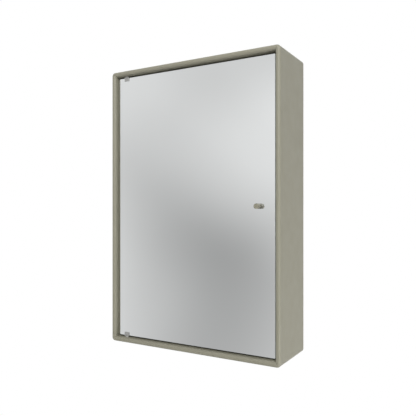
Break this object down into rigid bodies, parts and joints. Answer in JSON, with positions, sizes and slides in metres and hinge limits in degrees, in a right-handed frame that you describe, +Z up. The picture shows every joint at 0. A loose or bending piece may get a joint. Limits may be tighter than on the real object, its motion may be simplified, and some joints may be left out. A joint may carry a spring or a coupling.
{
  "type": "wall mirror cabinet",
  "caption": "Shallow wall cabinet of mitred lacquered board with an inset double-sided mirror door on pivot clamps, a small round knob and glass shelves inside.",
  "frame": {"origin": "on the wall plane, midway between the two screw holes of the wall rail", "axes": "+X to the right seen from the front, +Y from the front of the cabinet to the wall, +Z up"},
  "size_m": [0.468, 0.1525, 0.696],
  "materials": {
    "lacquered_board": "matt olive-grey lacquer on fibreboard",
    "lacquered_back": "matt olive-grey lacquer on thin fibreboard",
    "plywood_tongue": "bare birch plywood",
    "mirror_glass": "clear silvered mirror with ground edges",
    "bonding_film": "grey bonding film",
    "satin_steel": "satin nickel",
    "bright_steel": "bright zinc",
    "dark_steel": "black oxide",
    "zinc_steel": "galvanised sheet",
    "clear_plastic": "translucent soft plastic",
    "white_nylon": "natural nylon",
    "grey_plastic": "moulded grey plastic",
    "magnet_ferrite": "sintered ferrite, dark and dull",
    "lacquered_knob": "matt olive-grey lacquer on turned metal",
    "shelf_glass": "clear toughened glass with ground edges"
  },
  "bodies": {
    "cabinet": {"top_panel": "lacquered_board", "bottom_panel": "lacquered_board", "left_side_panel": "lacquered_board", "right_side_panel": "lacquered_board", "back_panel": "lacquered_back", "corner_tongues": "plywood_tongue", "pivot_bushing_top": "white_nylon", "pivot_bushing_bottom": "white_nylon", "catch_housing": "grey_plastic", "catch_magnet": "magnet_ferrite", "catch_screws": "bright_steel", "wall_rail": "zinc_steel", "hanging_bracket_left": "zinc_steel", "hanging_bracket_right": "zinc_steel", "bracket_screws": "bright_steel", "shelf_pins": "satin_steel", "glass_shelf_1": "shelf_glass", "glass_shelf_2": "shelf_glass", "glass_shelf_3": "shelf_glass"},
    "door": {"front_mirror_pane": "mirror_glass", "bonding_film": "bonding_film", "rear_mirror_pane": "mirror_glass", "hinge_clamp_top": "satin_steel", "hinge_clamp_bottom": "satin_steel", "clamp_liners": "clear_plastic", "clamp_set_screws": "dark_steel", "pivot_pin_top": "bright_steel", "pivot_pin_bottom": "bright_steel", "knob": "lacquered_knob", "knob_washers": "clear_plastic", "knob_sleeve": "clear_plastic", "knob_screw": "bright_steel", "strike_plate": "bright_steel"}
  },
  "joints": [
    {"name": "door_hinge", "type": "hinge", "parent": "cabinet", "child": "door", "pos_m": [-0.193, -0.1325, -0.288], "axis": [0, 0, -1], "range_deg": [0, 110]}
  ]
}
